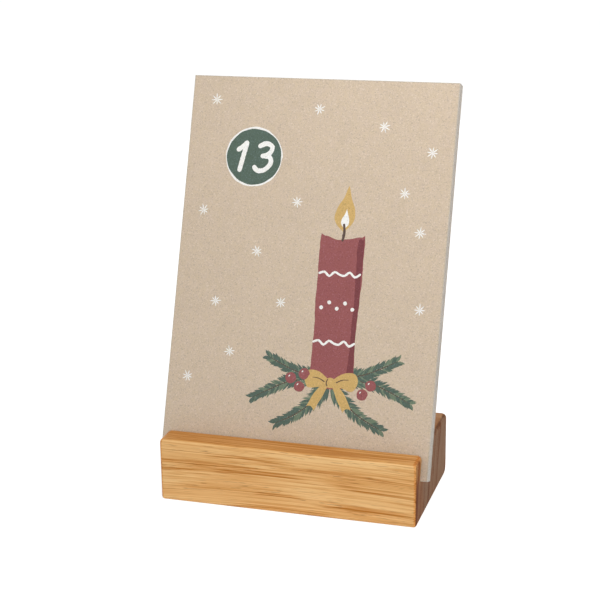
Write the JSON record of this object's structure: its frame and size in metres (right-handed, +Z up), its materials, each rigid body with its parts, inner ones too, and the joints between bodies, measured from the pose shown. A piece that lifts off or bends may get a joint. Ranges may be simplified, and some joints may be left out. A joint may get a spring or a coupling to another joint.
{
  "type": "wooden photo block holder",
  "caption": "Rounded oak block with a slanted groove near its front edge that holds a leaning stack of postcard-size kraft picture cards, which lift out one by one.",
  "frame": {"origin": "centre of the block's flat underside", "axes": "+X along the block and its groove, to the right as seen from the front; +Y from the front lip to the back; +Z up"},
  "size_m": [0.105, 0.063, 0.1548],
  "materials": {
    "oiled_oak": "oiled, fine straight grain along the block",
    "kraft_card": "matt uncoated board with flat printed ink"
  },
  "bodies": {
    "block": {"oak_block": "oiled_oak"},
    "card_13": {"card_13": "kraft_card"},
    "card_14": {"card_14": "kraft_card"},
    "card_15": {"card_15": "kraft_card"},
    "card_16": {"card_16": "kraft_card"},
    "card_17": {"card_17": "kraft_card"},
    "card_18": {"card_18": "kraft_card"},
    "card_19": {"card_19": "kraft_card"},
    "card_20": {"card_20": "kraft_card"},
    "card_21": {"card_21": "kraft_card"},
    "card_22": {"card_22": "kraft_card"},
    "card_23": {"card_23": "kraft_card"},
    "card_24": {"card_24": "kraft_card"},
    "card_01": {"card_01": "kraft_card"},
    "card_02": {"card_02": "kraft_card"},
    "card_03": {"card_03": "kraft_card"},
    "card_04": {"card_04": "kraft_card"},
    "card_05": {"card_05": "kraft_card"},
    "card_06": {"card_06": "kraft_card"},
    "card_07": {"card_07": "kraft_card"},
    "card_08": {"card_08": "kraft_card"},
    "card_09": {"card_09": "kraft_card"},
    "card_10": {"card_10": "kraft_card"},
    "card_11": {"card_11": "kraft_card"},
    "card_12": {"card_12": "kraft_card"}
  },
  "joints": [
    {"name": "card_13_lift", "type": "slide", "parent": "block", "child": "card_13", "axis": [0, 0.342, 0.9397], "range_m": [0, 0.15]},
    {"name": "card_14_lift", "type": "slide", "parent": "block", "child": "card_14", "axis": [0, 0.342, 0.9397], "range_m": [0, 0.15]},
    {"name": "card_15_lift", "type": "slide", "parent": "block", "child": "card_15", "axis": [0, 0.342, 0.9397], "range_m": [0, 0.15]},
    {"name": "card_16_lift", "type": "slide", "parent": "block", "child": "card_16", "axis": [0, 0.342, 0.9397], "range_m": [0, 0.15]},
    {"name": "card_17_lift", "type": "slide", "parent": "block", "child": "card_17", "axis": [0, 0.342, 0.9397], "range_m": [0, 0.15]},
    {"name": "card_18_lift", "type": "slide", "parent": "block", "child": "card_18", "axis": [0, 0.342, 0.9397], "range_m": [0, 0.15]},
    {"name": "card_19_lift", "type": "slide", "parent": "block", "child": "card_19", "axis": [0, 0.342, 0.9397], "range_m": [0, 0.15]},
    {"name": "card_20_lift", "type": "slide", "parent": "block", "child": "card_20", "axis": [0, 0.342, 0.9397], "range_m": [0, 0.15]},
    {"name": "card_21_lift", "type": "slide", "parent": "block", "child": "card_21", "axis": [0, 0.342, 0.9397], "range_m": [0, 0.15]},
    {"name": "card_22_lift", "type": "slide", "parent": "block", "child": "card_22", "axis": [0, 0.342, 0.9397], "range_m": [0, 0.15]},
    {"name": "card_23_lift", "type": "slide", "parent": "block", "child": "card_23", "axis": [0, 0.342, 0.9397], "range_m": [0, 0.15]},
    {"name": "card_24_lift", "type": "slide", "parent": "block", "child": "card_24", "axis": [0, 0.342, 0.9397], "range_m": [0, 0.15]},
    {"name": "card_01_lift", "type": "slide", "parent": "block", "child": "card_01", "axis": [0, 0.342, 0.9397], "range_m": [0, 0.15]},
    {"name": "card_02_lift", "type": "slide", "parent": "block", "child": "card_02", "axis": [0, 0.342, 0.9397], "range_m": [0, 0.15]},
    {"name": "card_03_lift", "type": "slide", "parent": "block", "child": "card_03", "axis": [0, 0.342, 0.9397], "range_m": [0, 0.15]},
    {"name": "card_04_lift", "type": "slide", "parent": "block", "child": "card_04", "axis": [0, 0.342, 0.9397], "range_m": [0, 0.15]},
    {"name": "card_05_lift", "type": "slide", "parent": "block", "child": "card_05", "axis": [0, 0.342, 0.9397], "range_m": [0, 0.15]},
    {"name": "card_06_lift", "type": "slide", "parent": "block", "child": "card_06", "axis": [0, 0.342, 0.9397], "range_m": [0, 0.15]},
    {"name": "card_07_lift", "type": "slide", "parent": "block", "child": "card_07", "axis": [0, 0.342, 0.9397], "range_m": [0, 0.15]},
    {"name": "card_08_lift", "type": "slide", "parent": "block", "child": "card_08", "axis": [0, 0.342, 0.9397], "range_m": [0, 0.15]},
    {"name": "card_09_lift", "type": "slide", "parent": "block", "child": "card_09", "axis": [0, 0.342, 0.9397], "range_m": [0, 0.15]},
    {"name": "card_10_lift", "type": "slide", "parent": "block", "child": "card_10", "axis": [0, 0.342, 0.9397], "range_m": [0, 0.15]},
    {"name": "card_11_lift", "type": "slide", "parent": "block", "child": "card_11", "axis": [0, 0.342, 0.9397], "range_m": [0, 0.15]},
    {"name": "card_12_lift", "type": "slide", "parent": "block", "child": "card_12", "axis": [0, 0.342, 0.9397], "range_m": [0, 0.15]}
  ]
}
